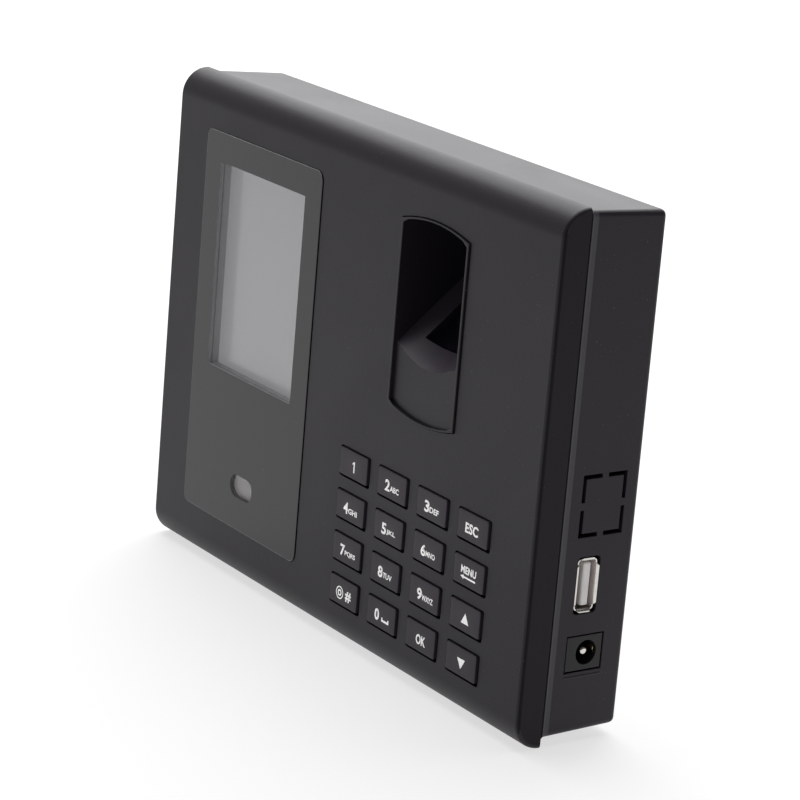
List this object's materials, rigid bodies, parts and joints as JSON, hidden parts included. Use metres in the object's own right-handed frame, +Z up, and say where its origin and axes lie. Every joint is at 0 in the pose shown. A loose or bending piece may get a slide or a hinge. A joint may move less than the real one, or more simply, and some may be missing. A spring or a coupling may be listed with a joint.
{
  "type": "fingerprint scanner terminal",
  "caption": "Upright fingerprint scanner terminal with a colour display, a key pad, a finger recess with an inclined optical window, a host socket and a power inlet in its side.",
  "frame": {"origin": "middle of the bounding box, at its bottom: the lower edge of the front cover", "axes": "+Z up, -Y out of the face with the display, +X to the right as seen by the user, towards the side with the inlets"},
  "size_m": [0.184, 0.0322, 0.1352],
  "materials": {
    "case_black": "fine matte texture",
    "key_black": "fine matte texture, white print",
    "lens_black": "polished, printed dark from behind with a clear window",
    "foam_grey": "soft foam",
    "display_grey": "switched-off display",
    "diffuser_white": "milky",
    "prism_glass": "dark polished glass",
    "board_green": "solder mask",
    "silicone_grey": "silicone",
    "plastic_white": "satin",
    "plastic_black": "satin",
    "film_amber": "polyimide film",
    "steel": "plated",
    "brass": "plated",
    "nickel": "nickel plated"
  },
  "bodies": {
    "terminal": {"front_cover": "case_black", "rear_housing": "case_black", "scanner_surround": "case_black", "display_lens": "lens_black", "display_gasket": "foam_grey", "lcd_panel": "display_grey", "status_light_guide": "diffuser_white", "scanner_prism": "prism_glass", "front_board": "board_green", "main_board": "board_green", "scanner_board": "board_green", "keypad_mat": "silicone_grey", "usb_tongue": "plastic_white", "wire_header": "plastic_white", "status_led": "plastic_white", "scanner_housing": "plastic_black", "scanner_camera": "plastic_black", "battery_holder": "plastic_black", "speaker": "plastic_black", "dc_jack_body": "plastic_black", "board_link": "plastic_black", "lcd_ribbon": "film_amber", "lcd_tray": "steel", "usb_shell": "steel", "case_screw_1": "steel", "case_screw_2": "steel", "case_screw_3": "steel", "case_screw_4": "steel", "front_board_screw_1": "steel", "front_board_screw_2": "steel", "front_board_screw_3": "steel", "front_board_screw_4": "steel", "main_board_screw_1": "steel", "main_board_screw_2": "steel", "main_board_screw_3": "steel", "main_board_screw_4": "steel", "dc_jack_spring": "brass", "usb_contact_1": "brass", "usb_contact_2": "brass", "usb_contact_3": "brass", "usb_contact_4": "brass", "dc_jack_pin": "nickel", "clock_battery": "nickel"},
    "key_1": {"key_1": "key_black"},
    "key_2": {"key_2": "key_black"},
    "key_3": {"key_3": "key_black"},
    "key_esc": {"key_esc": "key_black"},
    "key_4": {"key_4": "key_black"},
    "key_5": {"key_5": "key_black"},
    "key_6": {"key_6": "key_black"},
    "key_menu": {"key_menu": "key_black"},
    "key_7": {"key_7": "key_black"},
    "key_8": {"key_8": "key_black"},
    "key_9": {"key_9": "key_black"},
    "key_up": {"key_up": "key_black"},
    "key_at_hash": {"key_at_hash": "key_black"},
    "key_0": {"key_0": "key_black"},
    "key_ok": {"key_ok": "key_black"},
    "key_down": {"key_down": "key_black"}
  },
  "joints": [
    {"name": "key_1_press", "type": "slide", "parent": "terminal", "child": "key_1", "axis": [0, 1, 0], "range_m": [0, 0.0005], "stiffness_N_per_m": 800},
    {"name": "key_2_press", "type": "slide", "parent": "terminal", "child": "key_2", "axis": [0, 1, 0], "range_m": [0, 0.0005], "stiffness_N_per_m": 800},
    {"name": "key_3_press", "type": "slide", "parent": "terminal", "child": "key_3", "axis": [0, 1, 0], "range_m": [0, 0.0005], "stiffness_N_per_m": 800},
    {"name": "key_esc_press", "type": "slide", "parent": "terminal", "child": "key_esc", "axis": [0, 1, 0], "range_m": [0, 0.0005], "stiffness_N_per_m": 800},
    {"name": "key_4_press", "type": "slide", "parent": "terminal", "child": "key_4", "axis": [0, 1, 0], "range_m": [0, 0.0005], "stiffness_N_per_m": 800},
    {"name": "key_5_press", "type": "slide", "parent": "terminal", "child": "key_5", "axis": [0, 1, 0], "range_m": [0, 0.0005], "stiffness_N_per_m": 800},
    {"name": "key_6_press", "type": "slide", "parent": "terminal", "child": "key_6", "axis": [0, 1, 0], "range_m": [0, 0.0005], "stiffness_N_per_m": 800},
    {"name": "key_menu_press", "type": "slide", "parent": "terminal", "child": "key_menu", "axis": [0, 1, 0], "range_m": [0, 0.0005], "stiffness_N_per_m": 800},
    {"name": "key_7_press", "type": "slide", "parent": "terminal", "child": "key_7", "axis": [0, 1, 0], "range_m": [0, 0.0005], "stiffness_N_per_m": 800},
    {"name": "key_8_press", "type": "slide", "parent": "terminal", "child": "key_8", "axis": [0, 1, 0], "range_m": [0, 0.0005], "stiffness_N_per_m": 800},
    {"name": "key_9_press", "type": "slide", "parent": "terminal", "child": "key_9", "axis": [0, 1, 0], "range_m": [0, 0.0005], "stiffness_N_per_m": 800},
    {"name": "key_up_press", "type": "slide", "parent": "terminal", "child": "key_up", "axis": [0, 1, 0], "range_m": [0, 0.0005], "stiffness_N_per_m": 800},
    {"name": "key_at_hash_press", "type": "slide", "parent": "terminal", "child": "key_at_hash", "axis": [0, 1, 0], "range_m": [0, 0.0005], "stiffness_N_per_m": 800},
    {"name": "key_0_press", "type": "slide", "parent": "terminal", "child": "key_0", "axis": [0, 1, 0], "range_m": [0, 0.0005], "stiffness_N_per_m": 800},
    {"name": "key_ok_press", "type": "slide", "parent": "terminal", "child": "key_ok", "axis": [0, 1, 0], "range_m": [0, 0.0005], "stiffness_N_per_m": 800},
    {"name": "key_down_press", "type": "slide", "parent": "terminal", "child": "key_down", "axis": [0, 1, 0], "range_m": [0, 0.0005], "stiffness_N_per_m": 800}
  ]
}
